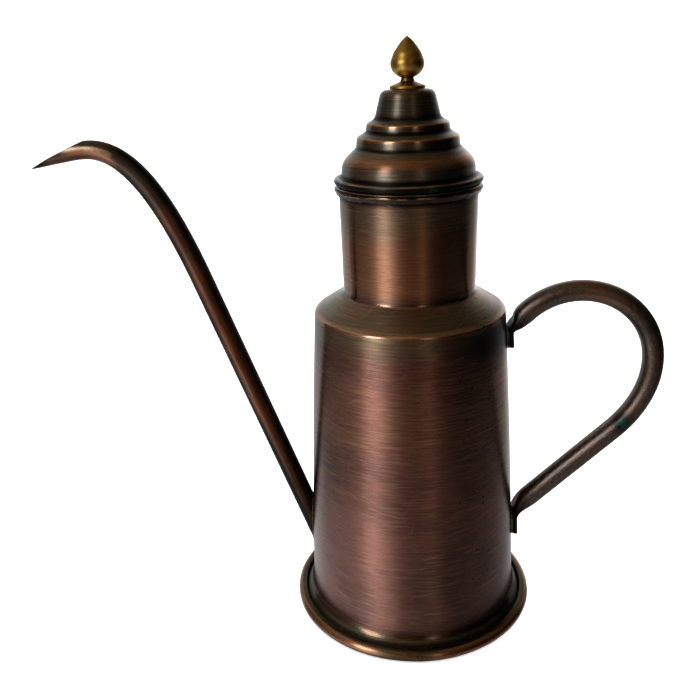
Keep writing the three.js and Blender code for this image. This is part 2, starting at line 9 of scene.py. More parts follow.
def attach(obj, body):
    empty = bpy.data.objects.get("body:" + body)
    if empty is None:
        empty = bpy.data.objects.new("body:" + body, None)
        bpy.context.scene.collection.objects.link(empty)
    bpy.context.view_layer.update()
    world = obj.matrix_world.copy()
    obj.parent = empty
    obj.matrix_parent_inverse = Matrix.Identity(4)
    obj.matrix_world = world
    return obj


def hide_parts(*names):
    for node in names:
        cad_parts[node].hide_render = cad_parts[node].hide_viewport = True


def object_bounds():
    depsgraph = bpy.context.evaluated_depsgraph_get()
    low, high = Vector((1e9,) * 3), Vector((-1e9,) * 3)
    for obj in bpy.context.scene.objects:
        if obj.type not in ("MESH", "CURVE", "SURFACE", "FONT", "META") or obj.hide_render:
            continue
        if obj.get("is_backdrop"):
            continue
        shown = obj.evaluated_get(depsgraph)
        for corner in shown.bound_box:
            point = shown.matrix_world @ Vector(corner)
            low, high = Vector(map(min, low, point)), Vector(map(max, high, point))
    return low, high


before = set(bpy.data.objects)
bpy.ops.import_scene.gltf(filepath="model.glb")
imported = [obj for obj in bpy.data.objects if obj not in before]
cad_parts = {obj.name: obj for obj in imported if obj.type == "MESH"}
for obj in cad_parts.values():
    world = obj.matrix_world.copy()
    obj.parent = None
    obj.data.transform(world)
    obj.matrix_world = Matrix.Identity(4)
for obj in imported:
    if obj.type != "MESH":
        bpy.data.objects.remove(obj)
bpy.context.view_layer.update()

# Camera: it stands in front of the can, level with the finial, and looks down at the middle of
# the body, a little to the spout's side. Sizes in this file are millimetres, and each one is
# turned into metres where it goes into a mesh.
MILLIMETRE = 0.001
scene = bpy.context.scene
eye = Vector((0, -389.6, 295.3)) * MILLIMETRE
look_down, look_aside, head_tilt = 0.36196, 0.0805, -0.03755


def placed(name, data):
    """A new object in the scene."""
    thing = bpy.data.objects.new(name, data)
    scene.collection.objects.link(thing)
    return thing


camera = placed("camera", bpy.data.cameras.new("camera"))
camera.data.sensor_width = 36
camera.data.lens = 40.84
camera.matrix_world = (
    Matrix.Translation(eye)
    @ Matrix.Rotation(look_aside, 4, "Z")
    @ Matrix.Rotation(math.pi / 2 - look_down, 4, "X")
    @ Matrix.Rotation(head_tilt, 4, "Z")
)
scene.camera = camera
scene.view_settings.view_transform = "Standard"


# Studio: a round room of light, painted by bearing, that the metal shows as soft upright bands:
# bright behind the can, a tall window to the left of the camera, a weak one to the right, and
# dim in front. The pale floor and the lamp over it light the can, but don't show in its gloss.
def node(tree, kind, links=None, **settings):
    """A shader node with its settings, its values and what is joined to its sockets."""
    fresh = tree.nodes.new("ShaderNode" + kind)
    for key, value in settings.items():
        setattr(fresh, key, value)
    for socket, value in (links or {}).items():
        if isinstance(value, bpy.types.NodeSocket):
            tree.links.new(value, fresh.inputs[socket])
        else:
            fresh.inputs[socket].default_value = value
    return fresh


def maths(operation, *values):
    """The output of a Math node, in the node tree of the sockets that it joins."""
    tree = next(value.id_data for value in values if isinstance(value, bpy.types.NodeSocket))
    return node(tree, "Math", dict(enumerate(values)), operation=operation).outputs[0]


def times(first, second):
    return maths("MULTIPLY", first, second)


def graded(value, slope, start):
    """A value times a slope, plus a start."""
    return maths("MULTIPLY_ADD", value, slope, start)


def ramp(factor, stops):
    """The output of a colour ramp from (place, colour or grey) stops."""
    fresh = node(factor.id_data, "ValToRGB", {"Fac": factor})
    while len(fresh.color_ramp.elements) < len(stops):
        fresh.color_ramp.elements.new(1)
    for element, (place, tone) in zip(fresh.color_ramp.elements, stops):
        element.position = place
        element.color = (*(tone if isinstance(tone, tuple) else (tone,) * 3), 1)
    return fresh.outputs[0]


def mixed(factor, first, second):
    """Two colours mixed by a factor. A colour is a tuple or a socket."""
    tint = {
        6 + i: c if isinstance(c, bpy.types.NodeSocket) else (*c, 1)
        for i, c in enumerate((first, second))
    }
    return node(factor.id_data, "Mix", {0: factor, **tint}, data_type="RGBA").outputs[2]


# Light round the room, in degrees and colour: 0 is behind the camera's eye, plus is to the left.
room_bands = (
    (-180, 1.0), (-160, (0.95, 0.97, 1.0)), (-148, (0.5, 0.54, 0.55)),
    (-135, (0.16, 0.18, 0.18)), (-121, (0.1, 0.115, 0.115)), (-115, 0.006),
    (-66, (0.004, 0.003, 0.002)), (-52, (0.01, 0.006, 0.003)), (-40, (0.026, 0.016, 0.007)),
    (-31, (0.06, 0.04, 0.022)), (-22, (0.125, 0.085, 0.048)), (-15, (0.07, 0.043, 0.024)),
    (-6, (0.052, 0.032, 0.017)), (2, (0.068, 0.045, 0.028)), (11, (0.11, 0.082, 0.062)),
    (19, (0.21, 0.18, 0.15)), (27, (0.46, 0.45, 0.43)), (35, 0.9),
    (43, 1.05), (51, (0.78, 0.76, 0.74)), (60, (0.32, 0.29, 0.26)),
    (72, (0.16, 0.135, 0.105)), (84, (0.115, 0.09, 0.067)), (116, (0.07, 0.057, 0.044)),
    (122, (0.3, 0.34, 0.35)), (150, (0.38, 0.43, 0.44)), (165, (0.64, 0.7, 0.72)),
    (180, 1.0),
)
floor_bands = (
    (-180, (0.55, 0.6, 0.62)), (-130, (0.36, 0.4, 0.42)), (-95, (0.2, 0.21, 0.215)),
    (-60, (0.14, 0.135, 0.13)), (-38, (0.19, 0.175, 0.16)), (-22, (0.4, 0.365, 0.33)),
    (-6, (0.4, 0.37, 0.335)), (10, (0.45, 0.425, 0.4)),
    (43, (1.5, 1.52, 1.56)), (58, (0.8, 0.84, 0.9)), (80, (0.72, 0.8, 0.88)),
    (130, (0.72, 0.8, 0.86)), (180, (0.55, 0.6, 0.62)),
)
room = bpy.data.worlds.new("studio")
scene.world = room
room.use_nodes = True
air = room.node_tree
air.nodes.clear()
toward = node(air, "SeparateXYZ", {0: node(air, "TexCoord").outputs["Generated"]})
aside = times(toward.outputs[0], -1)
forward = times(toward.outputs[1], -1)
rise = toward.outputs[2]
bearing = graded(maths("ARCTAN2", aside, forward), 0.5 / math.pi, 0.5)


def round_room(bands):
    """A ramp round the room from (degrees, tone) stops."""
    return ramp(bearing, [(0.5 + angle / 360, tone) for angle, tone in bands])


def window(left, right, low, high, strength):
    """A soft-edged window of light between two bearings and two heights."""
    middle = (left + right) / 2
    width = round_room([(right - 4, 0), (right + 2, 1), (middle, 1), (left - 2, 1), (left + 4, 0)])
    tall = ramp(rise, [(low - 0.06, 0), (low + 0.06, 1), (high - 0.08, 1), (high + 0.08, 0)])
    return times(times(width, tall), strength)


ceiling_tone = ramp(graded(aside, 0.5, 0.5), [
    (0.2, (0.05, 0.043, 0.03)), (0.5, (0.15, 0.12, 0.07)), (0.8, (0.3, 0.28, 0.235))])
ceiling = mixed(ramp(rise, [(0.32, 0), (0.7, 1)]), round_room(room_bands), ceiling_tone)
fall = times(rise, -1)
sink = ramp(fall, [(0.26, 0), (0.34, 0.16), (0.48, 0.22), (0.56, 0.75), (0.85, 1)])
below = mixed(ramp(fall, [(0.6, 0), (0.85, 1)]), round_room(floor_bands), (0.19, 0.195, 0.2))
lit = mixed(sink, ceiling, below)
windows = maths("ADD", window(51, 36, 0.1, 0.6, 4.0), window(-18, -23, 0.12, 0.5, 0.7))
glow = node(air, "Background", {"Color": lit, "Strength": 1.0})
panes = node(air, "Background", {"Color": (0.95, 0.98, 1.0, 1.0), "Strength": windows})
whole = node(air, "AddShader", {0: glow.outputs[0], 1: panes.outputs[0]})
node(air, "OutputWorld", {"Surface": whole.outputs[0]})


def around(steps):
    """Angles at even steps round a circle."""
    return np.linspace(0, 2 * math.pi, steps, endpoint=False)


def bare_material(name):
    """A material and its node tree, with nothing in it yet."""
    material = bpy.data.materials.new(name)
    material.use_nodes = True
    material.node_tree.nodes.clear()
    return material, material.node_tree


sweep_radius, sweep_rise, sweep_height = 1800, 500, 2200
sweep_rings, sweep_bends, sweep_steps = 24, 16, 96
sweep_profile = [(sweep_radius * i / sweep_rings, 0) for i in range(1, sweep_rings + 1)]
sweep_profile += [
    (sweep_radius + sweep_rise * math.sin(a), sweep_rise * (1 - math.cos(a)))
    for a in np.linspace(0, math.pi / 2, sweep_bends)[1:]
]
sweep_profile.append((sweep_radius + sweep_rise, sweep_height))
sweep_form = bmesh.new()
sweep_rows = [
    [sweep_form.verts.new(Vector((r * math.cos(a), r * math.sin(a), z)) * MILLIMETRE)
     for a in around(sweep_steps)]
    for r, z in sweep_profile
]
sweep_form.faces.new(sweep_rows[0])
for low, high in zip(sweep_rows, sweep_rows[1:]):
    for i in range(sweep_steps):
        j = (i + 1) % sweep_steps
        sweep_form.faces.new((low[i], high[i], high[j], low[j]))
paper, paper_tree = bare_material("white_paper")
fibres = node(paper_tree, "TexNoise", {"Scale": 60.0, "Detail": 3.0}).outputs[0]
paper_face = node(paper_tree, "BsdfPrincipled", {
    "Base Color": ramp(fibres, [(0.3, 0.86), (0.7, 0.88)]), "Roughness": 0.9,
    "Emission Color": (1, 1, 1, 1), "Emission Strength": 0.42,
})
node(paper_tree, "OutputMaterial", {"Surface": paper_face.outputs[0]})
floor_mesh = bpy.data.meshes.new("floor")
sweep_form.to_mesh(floor_mesh)
sweep_form.free()
floor_mesh.materials.append(paper)
floor_mesh.polygons.foreach_set("use_smooth", [True] * len(floor_mesh.polygons))
floor = placed("floor", floor_mesh)
floor.visible_glossy = False
floor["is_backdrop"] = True

top_lamp = placed("top_lamp", bpy.data.lights.new("top_lamp", "AREA"))
top_lamp.data.size = 2.4
top_lamp.data.energy = 62
top_lamp.location = (0, 0, 1.9)
top_lamp.visible_glossy = False


# Base plate: a flat copper disc whose edge is rolled up over a wire and down on to the flange
# of the body. The roll is rubbed bright along its crest, and dirt lies in the groove inside it.
def arc(centre, radius, start, end, count=14):
    """Points along an arc, in degrees, both ends included."""
    angles = np.radians(np.linspace(start, end, count + 1))
    return [(centre[0] + radius * math.cos(a), centre[1] + radius * math.sin(a)) for a in angles]


def rounded(corners):
    """Path through (radius, height, fillet) corners, each rounded by an arc."""
    points = [np.array(c[:2], float) for c in corners]
    path = []
    for i, corner in enumerate(corners):
        if len(corner) < 3:
            path.append(tuple(points[i]))
            continue
        back, onward = ((points[k] - points[i]) / np.linalg.norm(points[k] - points[i])
                        for k in (i - 1, i + 1))
        half = math.acos(float(np.clip(back @ onward, -1, 1))) / 2
        middle = (back + onward) / np.linalg.norm(back + onward)
        centre = points[i] + middle * corner[2] / math.sin(half)
        reach = corner[2] / math.tan(half)
        first, last = (math.atan2(*(points[i] + way * reach - centre)[::-1])
                       for way in (back, onward))
        turn = math.atan2(math.sin(last - first), math.cos(last - first))
        count = max(4, int(abs(turn) * 9))
        path += arc(centre, corner[2], math.degrees(first), math.degrees(first + turn), count)
    return path


def closer(path, step):
    """The path with points added, so that none are further apart than a step."""
    dense = [path[0]]
    for a, b in zip(path, path[1:]):
        count = max(1, math.ceil(math.dist(a, b) / step))
        dense += [(a[0] + (b[0] - a[0]) * k / count, a[1] + (b[1] - a[1]) * k / count)
                  for k in range(1, count + 1)]
    return dense


def folded(path, thickness):
    """Closed outline of sheet metal that lies to the left of its path."""
    points = np.array(path)
    along = np.gradient(points, axis=0)
    along /= np.linalg.norm(along, axis=1)[:, None]
    inner = points + np.stack([-along[:, 1], along[:, 0]], 1) * np.reshape(thickness, (-1, 1))
    return np.concatenate([points, inner[::-1]])


def unit(values):
    """The values, kept between 0 and 1."""
    return np.clip(values, 0, 1)


def hump(values, place, width):
    """1 at a place, and smoothly less on both sides of it."""
    return np.exp(-((values - place) / width) ** 2)


def within(heights, low, high, soft):
    """1 between two heights and 0 beyond them, with soft ends."""
    return unit((heights - low) / soft) * unit((high - heights) / soft)


def wander(angles, seed, waves, least=1):
    """A smooth uneven line round the can, between about -1 and 1."""
    rng = np.random.default_rng(seed)
    total = np.zeros_like(angles)
    for k in range(least, least + waves):
        total += rng.normal() * np.sin(k * angles + rng.uniform(0, 2 * math.pi)) / math.sqrt(waves)
    return total


def spun(outline, steps):
    """Rings of points round the axis, one for each point of an outline."""
    angles = around(steps)
    r, z = np.array(outline).T
    return np.stack([
        np.outer(r, np.cos(angles)),
        np.outer(r, np.sin(angles)),
        np.repeat(z[:, None], steps, 1),
    ], -1)


def profile_marks(outline, is_closed):
    """Grain, wear and grime of a turned piece: wear on sharp edges, grime in the hollows."""
    points = np.array(outline)
    before, after = np.roll(points, 1, 0), np.roll(points, -1, 0)
    if not is_closed:
        before[0], after[-1] = points[0], points[-1]
    a, b = points - before, after - points
    bend = np.arctan2(a[:, 0] * b[:, 1] - a[:, 1] * b[:, 0], (a * b).sum(1))
    area = (points[:, 0] * after[:, 1] - after[:, 0] * points[:, 1]).sum()
    bend *= math.copysign(1, area)
    run = np.cumsum(np.linalg.norm(a, axis=1))
    gap = np.abs(run[:, None] - run[None])

    def spread(width):
        return (hump(gap, 0, width) @ bend) / (width * 1.77)

    worn = unit((spread(0.7) - 0.12) / 0.7)
    grime_and_shade = unit((-spread(1.4) - 0.03) / 0.35)
    return run, worn, grime_and_shade


def made(name, rings, marks, material, is_closed=True, crease=38, aged=0.0, bare=0.0,
         polished=0.0, green=0.0):
    """A smooth piece from rings of points, with its grain, wear and colouring marked on it."""
    rows, steps = rings.shape[:2]
    flat = rings.reshape(-1, 3)
    ids = np.arange(rows * steps).reshape(rows, steps)
    for i in range(rows):
        if np.ptp(rings[i], axis=0).max() < 1e-6:
            ids[i] = ids[i, 0]
    last = rows if is_closed else rows - 1
    faces = []
    for i in range(last):
        here, there = ids[i], ids[(i + 1) % rows]
        for j in range(steps):
            k = (j + 1) % steps
            face = tuple(dict.fromkeys((here[j], here[k], there[k], there[j])))
            if len(face) > 2:
                faces.append(face)
    if not is_closed:
        faces += [tuple(ids[i]) for i in (0, rows - 1) if ids[i, 0] != ids[i, 1]]
    mesh = bpy.data.meshes.new(name)
    mesh.from_pydata(flat * MILLIMETRE, [], faces)
    grain, worn, grime_and_shade = marks
    if np.ndim(grain) == 1:
        grain = np.column_stack([np.repeat(grain, steps), flat[:, :2]])
    mesh.attributes.new("grain", "FLOAT_VECTOR", "POINT").data.foreach_set("vector", grain.ravel())
    shares = {"worn": worn, "grime_and_shade": grime_and_shade, "aged": aged, "bare": bare,
              "polished": polished, "green": green}
    for mark, share in shares.items():
        if np.size(share) != rows * steps:
            share = np.broadcast_to(np.reshape(share, (-1, 1)), (rows, steps))
        mesh.attributes.new(mark, "FLOAT", "POINT").data.foreach_set("value", np.ravel(share))
    form = bmesh.new()
    form.from_mesh(mesh)
    loose = [v for v in form.verts if not v.link_faces]
    bmesh.ops.delete(form, geom=loose, context="VERTS")
    bmesh.ops.recalc_face_normals(form, faces=form.faces)
    form.to_mesh(mesh)
    form.free()
    mesh.polygons.foreach_set("use_smooth", [True] * len(mesh.polygons))
    mesh.set_sharp_from_angle(angle=math.radians(crease))
    mesh.materials.append(material)
    return placed(name, mesh)


def fixed(piece, body, finish, *nodes):
    """The piece moves with a body and hides the solids that it stands for; its finish is not used.
    """
    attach(piece, body)
    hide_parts(*nodes)
    return piece


def noise(where, scale, detail, **more):
    """The output of a noise texture that follows a coordinate."""
    links = {"Vector": where, "Scale": scale, "Detail": detail, **more}
    return node(where.id_data, "TexNoise", links).outputs[0]


def stretched(where, by):
    return node(where.id_data, "VectorMath", {0: where, 1: by}, operation="MULTIPLY").outputs[0]


turned_brush = (1.5, 0.06, 0.06)


def aged_copper(name, brown, shade, bare, olive, bright, brush=turned_brush, mottle=26, lines=0.3,
                gloss=0.3, dents=0.3, pits=0.0, scratches=0.0, grit=0.25, coat=0.12,
                is_turned=True):
    """Antiqued copper: brushed brown metal, bare in places and olive in others, with rubbed
    bright edges, black patina in the hollows and black painted shade where a piece marks it."""
    material, tree = bare_material(name)
    where = node(tree, "TexCoord").outputs["Object"]
    grain = node(tree, "Attribute", attribute_name="grain").outputs["Vector"]

    def marked(name):
        return node(tree, "Attribute", attribute_name=name).outputs["Fac"]

    def brushed(fineness, detail):
        return noise(stretched(grain, [b * fineness for b in brush]), 1.0, detail, Roughness=0.6)

    def clouds(scale, detail, distortion=0.0):
        return noise(where, scale, detail, Roughness=0.6, Distortion=distortion)

    strokes, hairs = brushed(1.0, 4.0), brushed(3.0, 2.0)
    blotches, specks = clouds(mottle, 4.0, 0.6), clouds(900.0, 3.0)
    patchy = graded(strokes, 1.3, graded(blotches, 1.1, -1.2))

    def shown(share):
        return ramp(maths("ADD", share, patchy), [(0.2, 0), (0.8, 1)])

    tone = mixed(ramp(blotches, [(0.4, 0), (0.64, 1)]), brown, shade)
    tone = mixed(shown(marked("bare")), tone, bare)
    olive_share = shown(marked("aged"))
    tone = mixed(olive_share, tone, olive)
    tone = mixed(times(ramp(strokes, [(0.46, 0), (0.72, 1)]), lines), tone, bright)
    tone = mixed(times(ramp(hairs, [(0.28, 1), (0.48, 0)]), lines), tone, patina_and_shade_black)
    uneven = graded(specks, 0.9, graded(strokes, 0.9, -0.45))
    edge = ramp(times(marked("worn"), graded(uneven, 1.6, 0.1)), [(0.12, 0), (0.62, 1)])
    # Dark share: black patina in the hollows, and painted shade where a piece is marked for it.
    dirt_and_shade = ramp(times(marked("grime_and_shade"), graded(blotches, 1.2, 0.5)), [(0.1, 0), (0.8, 1)])
    tone = mixed(edge, mixed(dirt_and_shade, tone, patina_and_shade_black), bright)
    relief = graded(specks, grit, graded(hairs, 0.5, strokes))
    if scratches:
        webs = node(tree, "TexVoronoi", {"Vector": where, "Scale": 24.0},
                    feature="DISTANCE_TO_EDGE").outputs["Distance"]
        scored = times(ramp(webs, [(0.0, 1), (0.0045, 0)]),
                       ramp(clouds(50.0, 2.0), [(0.53, 0), (0.64, 1)]))
        for lean, rows, patches in ((0.52, 300, 31.0), (-0.2, 240, 43.0), (0.3, 360, 57.0)):
            tilted = node(tree, "VectorRotate", {"Vector": where, "Angle": lean},
                          rotation_type="Y_AXIS").outputs[0]
            waves = noise(stretched(tilted, (11, 11, rows)), 1.0, 0.0)
            offset = maths("ABSOLUTE", maths("SUBTRACT", waves, 0.5))
            hair = times(ramp(offset, [(0.0, 1), (0.024, 0)]),
                         ramp(clouds(patches, 3.0), [(0.54, 0), (0.66, 0.8)]))
            scored = maths("MAXIMUM", scored, hair)
        tone = mixed(times(scored, scratches), tone, bright)
        relief = graded(scored, -0.5, relief)
    if pits:
        cells = node(tree, "TexVoronoi", {"Vector": where, "Scale": 200.0}).outputs["Distance"]
        right = node(tree, "SeparateXYZ", {0: where}).outputs[0]
        hole = times(ramp(cells, [(0.08, 1), (0.17, 0)]),
                     ramp(clouds(60.0, 1.0), [(0.47, 0), (0.53, 1)]))
        hole = times(times(hole, ramp(right, [(0.015, 0), (0.026, 1)])), pits)
        tone = mixed(hole, tone, pit_black)
    green, polish = marked("green"), marked("polished")
    spots = node(tree, "TexVoronoi", {"Vector": where, "Scale": 620.0}).outputs["Distance"]
    specked = maths("SUBTRACT", maths("ADD", green, specks), spots)
    salts = ramp(times(specked, green), [(0.15, 0), (0.42, 1)])
    tone = mixed(salts, tone, salt_green)
    rough = graded(olive_share, 0.06, graded(strokes, 0.16, gloss - 0.08))
    dull = maths("MAXIMUM", maths("SUBTRACT", dirt_and_shade, polish), salts)
    rough = graded(polish, -0.18, graded(dull, 0.2, rough))
    fine = node(tree, "Bump", {"Height": relief, "Strength": 0.45, "Distance": 0.00008})
    swell = node(tree, "Bump", {"Height": clouds(38.0, 2.0), "Strength": dents,
                                "Distance": 0.0006, "Normal": fine.outputs[0]})
    face = node(tree, "BsdfPrincipled", {
        "Base Color": tone, "Roughness": rough, "Metallic": 1.0, "Coat Weight": coat,
        "Coat Roughness": 0.25, "Normal": swell.outputs[0],
    })
    if is_turned:
        face.inputs["Anisotropic"].default_value = 0.85
        face.inputs["Anisotropic Rotation"].default_value = 0.25
        tangent = node(tree, "Tangent", direction_type="RADIAL", axis="Z")
        tree.links.new(tangent.outputs[0], face.inputs["Tangent"])
    node(tree, "OutputMaterial", {"Surface": face.outputs[0]})
    return material


sheet, seat_gap = 0.9, 0.25
plate_low, roll_centre, roll_radius, roll_end = 0.06, (62.9, 3.3), 3.24, 112
# Near-black for patina in the hollows and for painted shade, and black for pits.
patina_and_shade_black, pit_black = (0.02, 0.017, 0.01), (0.006, 0.006, 0.005)
salt_green = (0.035, 0.13, 0.11)
base_copper = aged_copper(
    "base_copper", brown=(0.4, 0.165, 0.085), shade=(0.22, 0.105, 0.055), bare=(0.66, 0.28, 0.14),
    olive=(0.1, 0.082, 0.042), bright=(0.9, 0.52, 0.33), lines=0.25,
    gloss=0.25, mottle=60)
base_outline = closer([(0, plate_low)] + arc(roll_centre, roll_radius, -90, roll_end, 40), 4)
base_outline += arc(roll_centre, roll_radius - sheet, roll_end, -90, 40)
base_outline += closer([(roll_centre[0], roll_centre[1] - roll_radius + sheet), (0, sheet)], 4)[1:]
base_steps = 300
base_rings = spun(base_outline, base_steps)
reach, heights = np.array(base_outline).T
uneven_roll = 0.0012 * wander(around(base_steps), 3, 9, 3) - 0.0015
on_roll = unit((reach - 60) / 2)
base_rings[..., :2] *= 1 + np.outer(on_roll, uneven_roll)[..., None]
run, _, grime_and_shade = profile_marks(base_outline, False)
crest = 0.35 * hump(heights, 4.6, 1.8) * (reach > 63.5)
round_front = 270 - np.degrees(around(base_steps))
olive_front = hump(round_front, 5, 20) * 0.75 + 0.05
olive_bead = (within(heights, 4.9, 9, 0.8) * (reach < 64))[:, None] + olive_front
bare_front = 0.3 + 0.7 * hump(round_front, -40, 28) * np.ones_like(olive_bead)
salts_front = np.outer(within(heights, -1, 2.2, 1.4), 0.4 + 0.6 * hump(round_front, 0, 40))
fixed(made("rolled_base", base_rings, (run, crest, grime_and_shade), base_copper, is_closed=False,
           aged=unit(olive_bead), bare=bare_front, green=0.5 * salts_front),
      "vessel", "rim_copper", "base_plate")

# Rim wire: a round copper wire inside the roll. It isn't seen, and it gives the bead its size.
wire_radius = 1.5
wire_height = sheet + seat_gap + wire_radius
wire_outline = arc((roll_centre[0], wire_height), wire_radius, 0, 360, 20)[:-1]


def turned_part(name, outline, steps, material, *place):
    """A plain turned piece. Its place is its body, a slot that is not used, and the solid it stands
    for.
    """
    marks = profile_marks(outline, True)
    return fixed(made(name, spun(outline, steps), marks, material), *place)


inner_copper = aged_copper(
    "inner_copper", brown=(0.46, 0.24, 0.15), shade=(0.3, 0.15, 0.09), bare=(0.6, 0.34, 0.22),
    olive=(0.24, 0.17, 0.1), bright=(0.72, 0.42, 0.28), lines=0.25, gloss=0.36)
turned_part("rim_wire", wire_outline, 180, inner_copper,
            "vessel", "inner_copper", "base_rim_wire")

# Foot solder: a ring of grey tin solder run into the corner between the base plate and the
# flange, from inside the body. It makes the folded seam watertight.
roll_drop = (roll_centre[1] - sheet) * math.sin(math.radians(roll_end))
flange_top = roll_centre[1] + roll_drop - seat_gap
solder_out = roll_centre[0] - wire_radius - seat_gap
solder_low, solder_high = sheet + seat_gap, flange_top - sheet - seat_gap
seam_outline = closer([
    (solder_out - 3.4, solder_low), (solder_out, solder_low), (solder_out, solder_high),
    (solder_out - 0.9, solder_high), (solder_out - 2.4, solder_low + 0.7),
], 0.4)


def poured_metal(name, tone, dull, gloss):
    """Solder or braze as it ran: satin metal, uneven and duller in patches."""
    material, tree = bare_material(name)
    runs = noise(node(tree, "TexCoord").outputs["Object"], 320.0, 4.0)
    colour = mixed(ramp(runs, [(0.4, 0), (0.62, 1)]), tone, dull)
    ripple = node(tree, "Bump", {"Height": runs, "Strength": 0.6, "Distance": 0.0004})
    face = node(tree, "BsdfPrincipled", {
        "Base Color": colour, "Metallic": 1.0, "Normal": ripple.outputs[0],
        "Roughness": graded(runs, 0.3, gloss - 0.15),
    })
    node(tree, "OutputMaterial", {"Surface": face.outputs[0]})
    return material


grey_solder = poured_metal("grey_solder", (0.46, 0.45, 0.42), (0.24, 0.23, 0.21), 0.42)
turned_part("foot_solder", seam_outline, 180, grey_solder,
            "vessel", "solder", "base_seam_solder")

# Body: one spun copper shell. Its foot flares into the flange, the wall tapers with a slight
# swell, the shoulder slopes in to a straight neck, and the mouth is turned over to a ragged hem.
foot_radius, foot_height = 56.9, 9.2
shoulder_radius, shoulder_height = 48.6, 171
neck_foot, neck_foot_height = 33.3, 180.8
neck_top, mouth_height, hem_depth = 33.85, 234.05, 4.05
wall_swell, fold_radius, crease_height, bead_height = 0.7, 0.45, 232.6, 231.95
spout_lean = math.radians(19.7)
spout_entry_height = 45


def wall_radius(z):
    share = (z - foot_height) / (shoulder_height - foot_height)
    cone = foot_radius + (shoulder_radius - foot_radius) * share
    return cone + 4 * wall_swell * share * (1 - share)


fold_centre = (neck_top + fold_radius, mouth_height - sheet - fold_radius)
body_path = rounded(
    [(roll_centre[0] + 0.4, flange_top), (61.2, flange_top, 2), (foot_radius, foot_height, 6)]
    + [(wall_radius(z), z) for z in np.linspace(foot_height, shoulder_height, 14)[1:-1]]
    + [(shoulder_radius, shoulder_height, 1.8), (neck_foot, neck_foot_height, 2.6),
       (neck_top, fold_centre[1])])
body_path = closer(body_path, 3.2)[:-1] + arc(fold_centre, fold_radius, 180, 0, 12)
for hem_point in ((fold_centre[0] + 0.7, mouth_height - hem_depth / 2),
                  (neck_top + 0.3, mouth_height - hem_depth)):
    body_path += closer([body_path[-1], hem_point], 0.12)[1:]
heights = np.array(body_path)[:, 1]
past_fold = np.arange(len(body_path)) > int(np.argmax(heights))
on_hem = past_fold & (heights < mouth_height - 0.8)
hem_form = 0.16 * hump(heights, bead_height, 0.32) - 0.34 * hump(heights, crease_height, 0.18)
body_outline = folded(body_path, sheet + on_hem * hem_form)
body_steps = 360
body_rings = spun(body_outline, body_steps)
body_angles = around(body_steps)
heights = body_outline[:, 1]
in_hem = np.concatenate([past_fold, past_fold[::-1]])
rag = unit((mouth_height - 2.6 - heights) / 1.2) * in_hem
ragged = 0.22 * wander(body_angles, 11, 26, 2) + 0.08 * wander(body_angles, 12, 40, 30)
creased = 0.24 * wander(body_angles, 13, 12, 3)
body_rings[..., 2] += np.outer(rag, ragged) + np.outer(hump(heights, 232.4, 0.7) * in_hem, creased)
for seed, (waves, height) in enumerate(((3, 70), (4, 110), (5, 140))):
    dent = 0.05 * wander(body_angles, 30 + seed, waves, 2)
    near = within(heights, 20, 160, 20) * hump(heights, height, 26)
    body_rings[..., :2] *= 1 + (np.outer(near, dent) / 55)[..., None]
run, worn, grime_and_shade = profile_marks(body_outline, True)
broken = unit(0.6 + 0.8 * wander(body_angles, 14, 30, 8))
hem_rub, corner_rub = hump(heights, 233.6, 0.4) * in_hem, hump(heights, 171.2, 1.0)
bead_rub = hump(heights, bead_height, 0.22) * in_hem
# Painted shadow: a thin dark line on the neck just under the hem's ragged edge, and a darker line
# in the hem's crease.
painted_shadow_under_hem = hump(heights, 229.4, 0.45) * ~in_hem + 0.5 * hump(heights, crease_height, 0.3) * in_hem
in_groove = unit((7.6 - heights) / 1.6) * (body_outline[:, 0] > 57)
worn = worn * (heights < 228) + (0.45 * hem_rub + 0.35 * corner_rub)
worn = unit(worn[:, None] + np.outer(bead_rub, broken))
on_flare, near_neck_foot = within(heights, 3, 11.5, 3), within(heights, 177, 187, 2)
black = painted_shadow_under_hem + 0.6 * in_groove + 0.1 * on_flare + 0.54 * in_hem
grime_and_shade = unit(0.6 * grime_and_shade * (1 - near_neck_foot) + black)
# Painted shade: the top of the wall is darkened on the handle's side, round the upper tab.
round_right = (np.degrees(body_angles) + 180) % 360 - 180
painted_shade_upper_right = np.outer(hump(heights, 163, 11), np.exp(-(round_right / 70) ** 4))
grime_and_shade = unit(grime_and_shade[:, None] + 0.85 * painted_shade_upper_right)
body_olive = 1.1 * within(heights, 203, 240, 22) * ~in_hem
body_olive += np.clip((heights - 154) / 14, 0, 1.1) * (heights < 180)
body_olive += 0.6 * within(heights, 176, 187, 5) + 1.1 * on_flare + 0.5 * in_hem
body_bare = within(heights, 181, 226, 6) + 0.36 * within(heights, 100, 160, 16)
shiny = (on_flare + within(heights, 178, 187, 2) + hem_rub + bead_rub + corner_rub
         + 0.4 * within(heights, 187, 222, 8))
body_copper = aged_copper(
    "body_copper", brown=(0.385, 0.166, 0.126), shade=(0.175, 0.085, 0.075),
    bare=(0.51, 0.232, 0.132), olive=(0.25, 0.176, 0.112), bright=(0.78, 0.42, 0.28), mottle=19,
    lines=0.42, gloss=0.27, dents=0.25, pits=1.0, scratches=0.42, coat=0.32)
spun_body = made("spun_body", body_rings, (run, worn, grime_and_shade), body_copper,
                 aged=np.clip(body_olive, 0, 1.2), bare=body_bare, polished=unit(shiny),
                 green=0.34 * on_flare)

